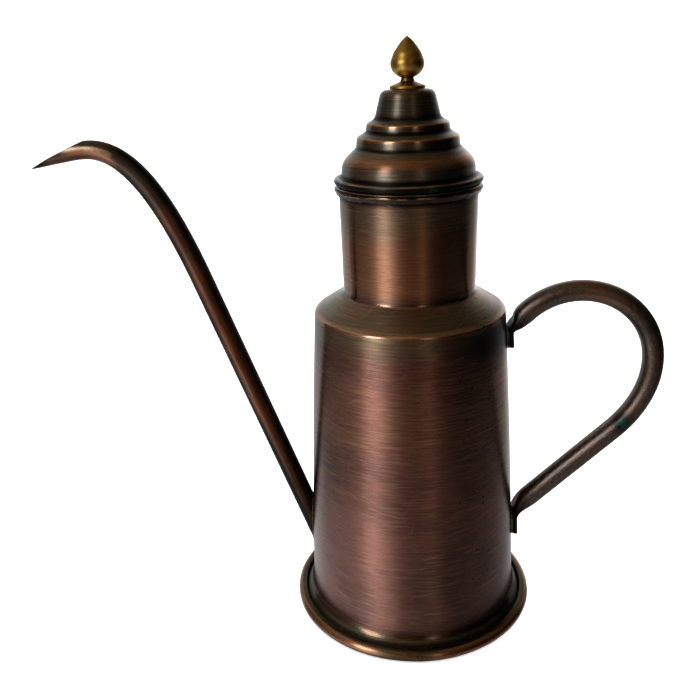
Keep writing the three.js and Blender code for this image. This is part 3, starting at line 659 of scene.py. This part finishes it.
spout_foot, spout_tip = 5.5, 4.55
up_spout = Vector((-math.sin(spout_lean), 0, math.cos(spout_lean)))
spout_entry = Vector((-wall_radius(spout_entry_height), 0, spout_entry_height))
drill = bpy.data.meshes.new("spout_hole")
drill_form = bmesh.new()
bore = (spout_foot + seat_gap) * MILLIMETRE
bmesh.ops.create_cone(
    drill_form, cap_ends=True, segments=64, depth=60 * MILLIMETRE, radius1=bore, radius2=bore,
    matrix=Matrix.Translation(spout_entry * MILLIMETRE) @ Matrix.Rotation(-spout_lean, 4, "Y"))
drill_form.to_mesh(drill)
drill_form.free()
hole = placed("spout_hole", drill)
cut = spun_body.modifiers.new("spout_hole", "BOOLEAN")
cut.operation, cut.object, cut.solver = "DIFFERENCE", hole, "EXACT"
evaluated = spun_body.evaluated_get(bpy.context.evaluated_depsgraph_get())
pierced = bpy.data.meshes.new_from_object(evaluated)
spun_body.modifiers.clear()
spun_body.data = pierced
bpy.data.objects.remove(hole)
pierced.set_sharp_from_angle(angle=math.radians(38))
fixed(spun_body, "vessel", "body_copper", "body_shell")

# Spout: a drawn copper tube that narrows towards its tip. It leans out of the body, is bent
# over at the top and dips past it, and its end is cut to a long quill point and filed.
crown_reach, crown_height = 157, 253.6
quill_droop = math.radians(9.5)
quill_length, quill_bend = 31, 5
cut_lead, cut_slope, cut_knee, point_slope = 1.3, 23.5, 19.3, 26.6
spout_columns = 48
straight_steps, bend_steps, dip_steps, quill_steps = 60, 90, 16, 120


def bezier(points, shares):
    """Points of a Bezier curve of any degree."""
    rows = np.repeat(np.array(points, float)[:, None], len(shares), 1)
    while len(rows) > 1:
        rows = rows[:-1] * (1 - shares)[:, None] + rows[1:] * shares[:, None]
    return rows[0]


def run_along(line):
    """How far along a line each of its points lies."""
    return np.concatenate([[0], np.cumsum(np.linalg.norm(np.diff(line, axis=0), axis=1))])


def tube_grain(skin, radius, runs):
    """Grain of a tube, as far along it and round it however the tube bends."""
    grain = np.zeros(skin.shape)
    turns = around(skin.shape[1])
    grain[..., :2] = np.stack([np.cos(turns), np.sin(turns)], -1) * radius
    grain[..., 2] = np.concatenate(runs)[:, None]
    return grain


def along_spout(height):
    return spout_entry + up_spout * ((height - spout_entry_height) / up_spout.z)


bend_start = along_spout(186.3)
bend_points = [(p[0], p[2]) for p in (bend_start, bend_start + up_spout * 40)]
bend_points += [(-crown_reach + 22, crown_height), (-crown_reach, crown_height)]
dip_points = [(-crown_reach, crown_height), (-crown_reach - quill_bend, crown_height)]
droop = np.array([-math.cos(quill_droop), -math.sin(quill_droop)])
dip_points.append(tuple(np.array(dip_points[-1]) + droop * quill_bend))
bend_shares = np.linspace(0, 1, bend_steps)
bottom = along_spout(22)
spout_line = np.concatenate([
    bezier([(bottom[0], bottom[2]), bend_points[0]], np.linspace(0, 1, straight_steps)),
    bezier(bend_points, bend_shares)[1:],
    bezier(dip_points, np.linspace(0, 1, dip_steps))[1:],
    np.array(dip_points[-1]) + np.outer(np.linspace(0, quill_length, quill_steps)[1:], droop),
])
spout_size = np.concatenate([
    np.full(straight_steps, spout_foot),
    spout_foot + (spout_tip - spout_foot) * bend_shares[1:] ** 3.5,
    np.full(dip_steps + quill_steps - 2, spout_tip),
])
spout_way = np.gradient(spout_line, axis=0)
spout_way /= np.linalg.norm(spout_way, axis=1)[:, None]
spout_run = run_along(spout_line)
quill_run = spout_run[straight_steps + bend_steps - 1]
square_run = 40  # from here up, every ring is square to the tube
turns = around(spout_columns)


def spout_skin(inset):
    """Every line along the tube, from where it leaves the wall's inside to the quill cut."""
    radius = (spout_size - inset)[:, None]
    away = radius * np.cos(turns)
    lines = np.stack([
        spout_line[:, :1] - spout_way[:, 1:] * away,
        radius * np.sin(turns) + 0 * away,
        spout_line[:, 1:] + spout_way[:, :1] * away,
    ], -1)
    ahead = -(lines[..., 0] + crown_reach + cut_lead)
    first = crown_height + spout_tip - ahead * math.tan(math.radians(cut_slope))
    knee = cut_knee * math.cos(math.radians(cut_slope))
    steeper = math.tan(math.radians(point_slope)) - math.tan(math.radians(cut_slope))
    over_cut = lines[..., 2] - (first - np.maximum(ahead - knee, 0) * steeper)
    inside = np.hypot(lines[..., 0], lines[..., 1]) - (wall_radius(lines[..., 2]) - sheet)
    skin = []
    for j in range(spout_columns):
        start = np.interp(0, inside[:straight_steps, j], spout_run[:straight_steps])
        past = np.flatnonzero((over_cut[:, j] > 0) & (ahead[:, j] > -1))
        k = past[0] if len(past) else len(spout_run) - 1
        share = over_cut[k - 1, j] / (over_cut[k - 1, j] - over_cut[k, j]) if len(past) else 1
        end = spout_run[k - 1] + (spout_run[k] - spout_run[k - 1]) * share
        stops = np.concatenate([
            np.linspace(start, square_run, 12), np.linspace(square_run, quill_run, 150)[1:],
            quill_run + (end - quill_run) * np.linspace(0, 1, 60)[1:],
        ])
        skin.append(np.stack([np.interp(stops, spout_run, lines[:, j, i]) for i in range(3)], -1))
    return np.stack(skin, 1), stops


spout_outside, spout_stops = spout_skin(0)
spout_inside, _ = spout_skin(sheet)
spout_rings = np.concatenate([spout_outside, spout_inside[::-1]])
spout_rows = len(spout_outside)
spout_grain = tube_grain(spout_rings, spout_foot, [spout_stops, spout_stops[::-1]])
tip_reach = -spout_rings[..., 0]
above = -np.cos(turns)[None] * np.ones((2 * spout_rows, 1))
ragged_end = 1.2 * np.sin(3 * turns + 1) + 0.7 * np.sin(7 * turns)
filed = unit((tip_reach - 141.5 - ragged_end) / 2.2)
filed *= unit((172 - tip_reach) / 8) * hump(above, 0.12, 0.42)
is_outside = (np.arange(2 * spout_rows) < spout_rows)[:, None]
spout_worn = 0.9 * filed * is_outside * hump(above, 0.3, 0.3)
# The tube is darker towards its foot and at its point.
darker_toward_foot = unit((118 - spout_rings[..., 2]) / 62)
darker_at_point = 0.6 * unit((tip_reach - 174) / 6)
# Painted shade: up to the crown, the tube's underside and its top side are darkened.
before_crown = unit((150 - tip_reach) / 10)
painted_shade_underside = 0.62 * unit((-above - 0.05) / 0.55) * before_crown
painted_shade_topside = 0.8 * unit((above - 0.32) / 0.5) * before_crown
spout_grime_and_shade = 0.55 * darker_toward_foot + darker_at_point + painted_shade_underside + painted_shade_topside
tube_brush = (0.9, 0.9, 0.05)
spout_copper = aged_copper(
    "spout_copper", brown=(0.33, 0.118, 0.066), shade=(0.24, 0.094, 0.056), bare=(0.55, 0.26, 0.15),
    olive=(0.12, 0.092, 0.07), bright=(0.98, 0.63, 0.43), brush=tube_brush, mottle=45, lines=0.2,
    gloss=0.43, dents=0.4, pits=0.5, coat=0.2, is_turned=False)
crown_olive = np.clip((tip_reach - 95) / 40, 0, 0.9) * unit(above + 1.1 - filed)
fixed(made("quill_spout", spout_rings, (spout_grain, spout_worn, spout_grime_and_shade), spout_copper,
           crease=50, aged=crown_olive, bare=filed, polished=filed),
      "vessel", "tube_copper", "spout_tube")

# Spout braze: brazing metal run round the spout where it leaves the wall, smoothed to a
# narrow fillet. It has darkened with the copper beside it.
braze_size = 2.2


def spout_root(angle, radius, clear):
    """Where a line along the spout leaves the wall, and the run up the spout to it."""
    low, high = -40.0, 130.0
    side = Vector((-up_spout.z, 0, up_spout.x)) * (radius * math.cos(angle))
    side.y = radius * math.sin(angle)
    while high - low > 0.0005:
        middle = (low + high) / 2
        trial = spout_entry + up_spout * middle + side
        is_inside = math.hypot(trial.x, trial.y) < wall_radius(trial.z) + clear
        low, high = (middle, high) if is_inside else (low, middle)
    return spout_entry + up_spout * high + side, side, high


def plain_marks(rings):
    """No grain, wear or grime, for metal that is left as it ran."""
    return np.zeros(rings.shape), np.zeros(rings.shape[:2]), np.zeros(rings.shape[:2])


braze_rings = []
braze_angles = around(96)
braze_swell = 1 + 0.1 * wander(braze_angles, 5, 9, 3)
for angle, swell in zip(braze_angles, braze_swell):
    root, side, high = spout_root(angle, spout_foot + 0.02, 0.02)
    on_tube = spout_entry + up_spout * (high + braze_size * swell * 0.98) + side
    on_wall = spout_root(angle, spout_foot + seat_gap + braze_size * swell / 2, 0.02)[0]
    hollow = [on_tube.lerp(on_wall, s).lerp(root, 0.35 * math.sin(math.pi * s))
              for s in np.linspace(0, 1, 9)]
    braze_rings.append([root, *hollow])
braze_rings = np.array([[tuple(p) for p in ring] for ring in braze_rings])
dark_braze = poured_metal("dark_braze", (0.13, 0.095, 0.045), (0.045, 0.032, 0.02), 0.42)
fixed(made("spout_fillet", braze_rings, plain_marks(braze_rings), dark_braze),
      "vessel", "braze", "spout_braze")

# Handle: a copper tube bent round a loop with a straight arm back to the body. Its ends are
# hammered flat into square tabs that lie on the wall.
handle_radius, bent_share = 5.57, 0.95
loop_radius, loop_centre = 38.2, np.array([86.3, 140.0])
loop_from, loop_to, loop_lead = math.radians(143), math.radians(10), 17.5
arm_slope, arm_point, arm_top, arm_clear, arm_lead = math.radians(44.3), (87.7, 82), 107, 10.6, 6
tab_thickness, tab_width, braze_layer = 2.3, 16, 0.3
tab_offset = 2 * seat_gap + braze_layer + tab_thickness / 2
upper_tab, upper_lead, upper_flatten = (150.4, 157.5), 2.8, 12
lower_tab, lower_lead, lower_flatten = (39.8, 49), 4, 14
handle_columns = 56


def on_wall_face(z):
    return np.array([wall_radius(z) + tab_offset, z])


def on_loop(angle):
    return loop_centre + loop_radius * np.array([math.cos(angle), math.sin(angle)])


def clockwise(angle):
    return np.array([math.sin(angle), -math.cos(angle)])


def on_arm(reach):
    return np.array([reach, arm_point[1] + (reach - arm_point[0]) * math.tan(arm_slope)])


down_arm = np.array([-math.cos(arm_slope), -math.sin(arm_slope)])
arm_start, arm_end = on_arm(arm_top), on_arm(wall_radius(lower_tab[1]) + arm_clear)
fine = np.linspace(0, 1, 200)
handle_line = np.concatenate([
    bezier([on_wall_face(upper_tab[0]), on_wall_face(upper_tab[1])], fine),
    bezier([on_wall_face(upper_tab[1]), on_wall_face(upper_tab[1] + upper_lead),
            on_loop(loop_from) - clockwise(loop_from) * upper_lead, on_loop(loop_from)], fine)[1:],
    np.array([on_loop(a) for a in np.linspace(loop_from, loop_to, 400)])[1:],
    bezier([on_loop(loop_to), on_loop(loop_to) + clockwise(loop_to) * loop_lead,
            arm_start - down_arm * loop_lead, arm_start], fine)[1:],
    bezier([arm_start, arm_end], fine)[1:],
    bezier([arm_end, arm_end + down_arm * arm_lead, on_wall_face(lower_tab[1] + lower_lead),
            on_wall_face(lower_tab[1])], fine)[1:],
    bezier([on_wall_face(lower_tab[1]), on_wall_face(lower_tab[0])], fine)[1:],
])
line_run = run_along(handle_line)
handle_length = line_run[-1]


def eased(x, low, high):
    share = unit((x - low) / (high - low))
    return share * share * (3 - 2 * share)


def flattened(half, straight):
    """Outline of a tube pressed flat: two flats joined by round sides, at even spacing."""
    quarter, whole = np.linspace(0, math.pi / 2, 16), np.linspace(0, math.pi, 31)
    side = [(half * math.sin(a), straight + half * math.cos(a)) for a in quarter]
    side += [(half * math.cos(a), -straight - half * math.sin(a)) for a in whole]
    side += [(-half * math.cos(a), straight + half * math.sin(a)) for a in quarter]
    length = run_along(side)
    stops = np.linspace(0, length[-1], handle_columns, endpoint=False)
    return np.stack([np.interp(stops, length, part) for part in np.array(side).T], -1)


def at_run(run):
    """The point that far along the handle's middle line."""
    return np.array([np.interp(run, line_run, part) for part in handle_line.T])


def handle_rings(inset, stops):
    rings = []
    upper_flat, lower_flat = np.ptp(upper_tab), np.ptp(lower_tab)
    for run in stops:
        point, way = at_run(run), at_run(run + 0.4) - at_run(run - 0.4)
        way /= np.hypot(*way)
        to_end = handle_length - run
        roundness = min(eased(run, upper_flat, upper_flat + upper_flatten),
                        eased(to_end, lower_flat, lower_flat + lower_flatten))
        in_plane = handle_radius * (1 + (bent_share - 1) * eased(to_end, 51, 85))
        half = tab_thickness / 2 + (in_plane - tab_thickness / 2) * roundness
        wide = tab_width / 2 + (2 * handle_radius - in_plane - tab_width / 2) * math.sqrt(roundness)
        deep, across = flattened(half - inset, max(wide - half, 0)).T
        rings.append(np.stack([point[0] - way[1] * deep, across, point[1] + way[0] * deep], -1))
    return np.array(rings)


handle_stops = np.linspace(0, handle_length, 280)
edge_stops = np.concatenate([[0.0, 0.15, 0.5], handle_stops[1:-1],
                             handle_length - np.array([0.5, 0.15, 0.0])])
handle_outside = handle_rings(0, edge_stops)
for row, keep in ((0, 0.3), (1, 0.08), (-1, 0.3), (-2, 0.08)):
    middle = handle_outside[row].mean(0)
    shift = handle_outside[row] - middle
    size = np.linalg.norm(shift, axis=1)[:, None]
    handle_outside[row] = middle + shift * (1 - keep / size)
handle_inside = handle_rings(sheet, handle_stops)
handle_skin = np.concatenate([handle_outside, handle_inside[::-1]])
handle_grain = tube_grain(handle_skin, handle_radius, [edge_stops, handle_stops[::-1]])
skin_run = handle_grain[..., 2]
near_tabs = unit((20 - skin_run) / 12)
near_tabs += unit((skin_run - handle_length + 24) / 14)
stain = np.exp(-((handle_skin - np.array([111, -5, 106.5])) ** 2).sum(-1) / 34)
round_loop = np.degrees(np.arctan2(handle_skin[..., 2] - loop_centre[1],
                                   handle_skin[..., 0] - loop_centre[0]))
rubbed_brown = hump(round_loop, 74, 25) + 0.45 * hump(round_loop, -5, 25)
# Painted shade on the right of the loop, round its upper bend and down its side.
painted_shade_on_loop = 0.42 * hump(round_loop, 36, 26) + 0.25 * hump(round_loop, -5, 22)
handle_marks = (handle_grain, 0 * skin_run, near_tabs + 0.8 * stain + painted_shade_on_loop)
handle_copper = aged_copper(
    "handle_copper", brown=(0.22, 0.14, 0.11), shade=(0.125, 0.088, 0.07),
    bare=(0.42, 0.19, 0.09), olive=(0.2, 0.176, 0.155), bright=(0.52, 0.39, 0.31),
    brush=(1.5, 1.5, 0.4), mottle=110, lines=0.5, gloss=0.4, dents=0.9, pits=0.4, grit=3.0,
    coat=0.5, is_turned=False)
fixed(made("loop_handle", handle_skin, handle_marks, handle_copper, crease=50,
           aged=0.4, bare=0.95 * rubbed_brown, green=0.7 * stain),
      "vessel", "tube_copper", "handle_tube")

# Tab braze: a thin layer of yellow brazing metal between each flat tab and the round wall,
# hollow on the wall's side and squeezed out a little at the edges.
yellow_braze = poured_metal("yellow_braze", (0.22, 0.17, 0.075), (0.03, 0.024, 0.013), 0.42)
braze_width = 14.2
for braze_name, (low, high), node_name in (
        ("upper_tab_braze", upper_tab, "handle_upper_braze"),
        ("lower_tab_braze", lower_tab, "handle_lower_braze")):
    half_angle = math.asin(braze_width / 2 / wall_radius(high))
    layer = []
    for k, angle in enumerate(np.linspace(-half_angle, half_angle, 41)):
        y = wall_radius(high) * math.sin(angle)
        squeezed = 0.12 * math.sin(k * 1.7) + 0.1 * math.sin(k * 0.61 + 1)
        ends = (low - 0.2 + squeezed, high + 0.3 - squeezed)
        ring = [(math.sqrt((wall_radius(z) + 0.04) ** 2 - y * y), y, z) for z in ends]
        layer.append(ring + [(wall_radius(z) + 0.7, y, z) for z in ends[::-1]])
    layer = np.array(layer)
    fixed(made(braze_name, layer, plain_marks(layer), yellow_braze, is_closed=False),
          "vessel", "braze", node_name)

# Lid: a spun copper shell with a rolled lip that rests on the mouth, a low dome, two steps and
# a steep top with a flat crown. The steps' edges are rubbed bright and their hollows are black.
lip_radius, lip_reach = 1.6, 34.55
lip_height = mouth_height + seat_gap + lip_radius
crown_radius, crown_top, stud_radius = 12.52, 277.0, 2
stud_bore = stud_radius + seat_gap
lid_rise = rounded([
    (lip_reach, lip_height + lip_radius), (32.5, lip_height + lip_radius, 0.8), (31.95, 244.9, 9),
    (24.95, 251.3, 1.3), (24.5, 256, 1.2), (20.2, 258.4, 1.3), (19.7, 262.1, 1.1),
    (15.8, 264.3, 3), (crown_radius, crown_top, 3.4), (stud_bore, crown_top),
])
lid_path = [(lip_reach - 1.1, lip_height - lip_radius)]
lid_path += arc((lip_reach, lip_height), lip_radius, -90, 90, 24) + lid_rise[1:]
lid_outline = folded(closer(lid_path, 1.2), sheet)
lid_steps = 300
lid_rings = spun(lid_outline, lid_steps)
lid_angles = around(lid_steps)
on_lip = unit((239 - lid_outline[:, 1]) / 1.5)
lid_rings[..., 2] += np.outer(on_lip * 0.1, wander(lid_angles, 21, 6, 2))
lid_rings[..., :2] *= 1 + (0.06 / 30 * wander(lid_angles, 22, 5, 2))[:, None]
run, worn, grime_and_shade = profile_marks(lid_outline, True)
reach, heights = lid_outline.T
lower_edge, upper_edge = within(heights, 253.9, 256.8, 0.7), within(heights, 260.3, 263, 0.7)
dome_band, crown_edge = within(heights, 241.5, 251, 3.5), within(heights, 271.5, 280, 2)
lid_olive = 1.15 - 0.95 * dome_band - lower_edge - 0.9 * upper_edge - 0.5 * crown_edge
lid_shine = lower_edge + upper_edge + 0.4 * within(heights, 246, 264, 1)
lid_bare = 0.75 * dome_band + lower_edge + 0.8 * upper_edge
lip_edge = within(heights, 236.75, 237.5, 0.25) * (reach > 34.4)
under_lip = within(heights, 230, 236.9, 0.4) * (reach > 33)
worn = unit(0.7 * worn * (heights > 238) + 0.6 * lip_edge)
patchy_rub = np.clip(0.7 + 0.5 * wander(lid_angles, 25, 24, 4), 0.1, 1)
worn = np.outer(worn, patchy_rub)
on_cone = within(heights, 264, 276.5, 2.5)
# The underside of the rolled lip is darkened as painted shade.
grime_and_shade = unit(grime_and_shade + (0.75 * under_lip + 0.22 * on_cone))
lip_salts = np.outer(under_lip + 0.3 * within(heights, 237, 243, 2),
                     np.clip(0.05 + 0.5 * wander(lid_angles, 24, 8, 2), 0, 0.55))
lid_copper = aged_copper(
    "lid_copper", brown=(0.26, 0.13, 0.075), shade=(0.16, 0.095, 0.06), bare=(0.52, 0.24, 0.12),
    olive=(0.16, 0.15, 0.122), bright=(0.8, 0.43, 0.27), mottle=60, lines=0.36,
    gloss=0.3, dents=0.25)
fixed(made("spun_lid", lid_rings, (run, worn, grime_and_shade), lid_copper,
           aged=np.clip(lid_olive, 0, 1.1), bare=lid_bare, polished=unit(lid_shine),
           green=lip_salts), "lid", "lid_copper", "lid_shell")

# Collar: a short copper sleeve that pushes into the neck and keeps the lid in place, held
# inside the dome by a run of solder.
collar_depth, collar_play, solder_radius = 16, 0.35, 1.3
collar_low, collar_high = mouth_height - collar_depth, lip_height + lip_radius - sheet - seat_gap
collar_radius = neck_foot + (neck_top - neck_foot) * (
    (collar_low - neck_foot_height) / (mouth_height - neck_foot_height)) - sheet - collar_play
collar_inside = collar_radius - sheet
collar_outline = closer([
    (collar_radius - 0.3, collar_low), (collar_radius, collar_low + 0.3),
    (collar_radius, collar_high), (collar_inside, collar_high), (collar_inside, collar_low + 0.3),
    (collar_inside + 0.3, collar_low)], 1.0)
turned_part("lid_sleeve", collar_outline, 200, inner_copper, "lid", "inner_copper", "lid_collar")
solder_out = collar_inside - 0.02
solder_outline = [(solder_out, collar_high + end) for end in (-solder_radius, solder_radius)]
solder_outline += [
    (solder_out - solder_radius * math.cos(a), collar_high + solder_radius * math.sin(a))
    for a in np.linspace(math.pi / 2, -math.pi / 2, 10)[1:-1]
]
turned_part("sleeve_solder", solder_outline, 180, grey_solder,
            "lid", "solder", "lid_collar_solder")

# Finial: turned from one brass bar, with a coned foot, a short neck and a drop that rises to a
# point. A stud under it goes through the crown and takes a washer and a nut.
stud_low, foot_low = 268.9, crown_top + seat_gap
foot_edge, foot_reach, cone_top, neck_end, neck_radius = foot_low + 1.3, 8.4, 280.7, 282.1, 2.9
bulb_radius, bulb_middle, bulb_point = 7.9, 288.3, 300.3
bulb_start = -math.acos(neck_radius / bulb_radius)
bulb_depth = (bulb_middle - neck_end) / math.sin(-bulb_start)
finial_outline = rounded([
    (0, stud_low), (stud_radius, stud_low, 0.4), (stud_radius, foot_low),
    (foot_reach, foot_low, 0.3), (foot_reach, foot_edge, 0.35),
    (neck_radius + 0.5, cone_top - 0.3, 0.8), (neck_radius, neck_end)])
finial_outline += [(bulb_radius * math.cos(a), bulb_middle + bulb_depth * math.sin(a))
                   for a in np.linspace(bulb_start, 0, 22)[1:]]
for s in np.linspace(0, 1, 26)[1:-1]:
    fuller = 0.21 * hump(s, 0.92, 0.2) - 0.035 * hump(s, 0.25, 0.12)
    finial_outline.append((bulb_radius * math.cos(s * math.pi / 2) * (1 + fuller),
                           bulb_middle + (bulb_point - bulb_middle) * s))
finial_outline = closer(finial_outline + [(0, bulb_point)], 0.7)


def turned_brass(name, tone, dull, tarnish):
    """Turned brass: yellow metal with tool marks round it and brown tarnish in the hollows."""
    material, tree = bare_material(name)
    grain = node(tree, "Attribute", attribute_name="grain").outputs["Vector"]
    grime_and_shade = node(tree, "Attribute", attribute_name="grime_and_shade").outputs["Fac"]
    marks = noise(stretched(grain, (3.4, 0.12, 0.12)), 1.0, 3.0)
    clouds = noise(node(tree, "TexCoord").outputs["Object"], 160.0, 4.0)
    colour = mixed(ramp(clouds, [(0.38, 0), (0.64, 1)]), tone, dull)
    colour = mixed(times(ramp(marks, [(0.3, 1), (0.52, 0)]), 0.4), colour, tarnish)
    colour = mixed(ramp(times(grime_and_shade, clouds), [(0.25, 0), (0.75, 1)]), colour, tarnish)
    ridges = node(tree, "Bump", {"Height": marks, "Strength": 0.3, "Distance": 0.0001})
    face = node(tree, "BsdfPrincipled", {
        "Base Color": colour, "Metallic": 1.0, "Normal": ridges.outputs[0],
        "Roughness": graded(marks, 0.2, 0.27),
    })
    node(tree, "OutputMaterial", {"Surface": face.outputs[0]})
    return material


finial_brass = turned_brass(
    "finial_brass", (0.78, 0.48, 0.112), (0.51, 0.29, 0.062), (0.17, 0.085, 0.014))
run, worn, grime_and_shade = profile_marks(finial_outline, False)
on_foot = within(np.array(finial_outline)[:, 1], 276.5, 282, 1)
grime_and_shade = unit(grime_and_shade + 0.6 * on_foot)
fixed(made("turned_finial", spun(finial_outline, 120), (run, worn, grime_and_shade), finial_brass,
           is_closed=False), "lid", "finial_brass", "finial")
washer_radius, washer_edge = 4.5, 0.2
washer_top = crown_top - sheet - seat_gap
washer_low = washer_top - 0.8
washer_outline = closer([
    (stud_bore, washer_low), (4.3, washer_low), (washer_radius, washer_low + washer_edge),
    (washer_radius, washer_top - washer_edge), (4.3, washer_top), (stud_bore, washer_top)], 0.3)
turned_part("stud_washer", washer_outline, 96, finial_brass,
            "lid", "finial_brass", "finial_washer")
nut_top, half_flats, nut_steps = washer_low - seat_gap, 3.5, 72
nut_low, nut_corner = nut_top - 3.2, half_flats / math.cos(math.pi / 6)
nut_outline = [
    (stud_bore, nut_low + 0.2), (stud_bore + 0.2, nut_low), (half_flats, nut_low),
    (nut_corner, nut_low + 0.45), (nut_corner, nut_top), (stud_bore, nut_top)]
nut_rings = spun(nut_outline, nut_steps)
nut_turn = (around(nut_steps) + math.pi / 6) % (math.pi / 3) - math.pi / 6
flat_reach = half_flats / np.cos(nut_turn)
size = np.hypot(nut_rings[..., 0], nut_rings[..., 1])
nut_rings[..., :2] *= np.minimum(1, flat_reach[None] / size)[..., None]
fixed(made("stud_nut", nut_rings, profile_marks(nut_outline, True), finial_brass, crease=25),
      "lid", "finial_brass", "finial_nut")

low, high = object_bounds()
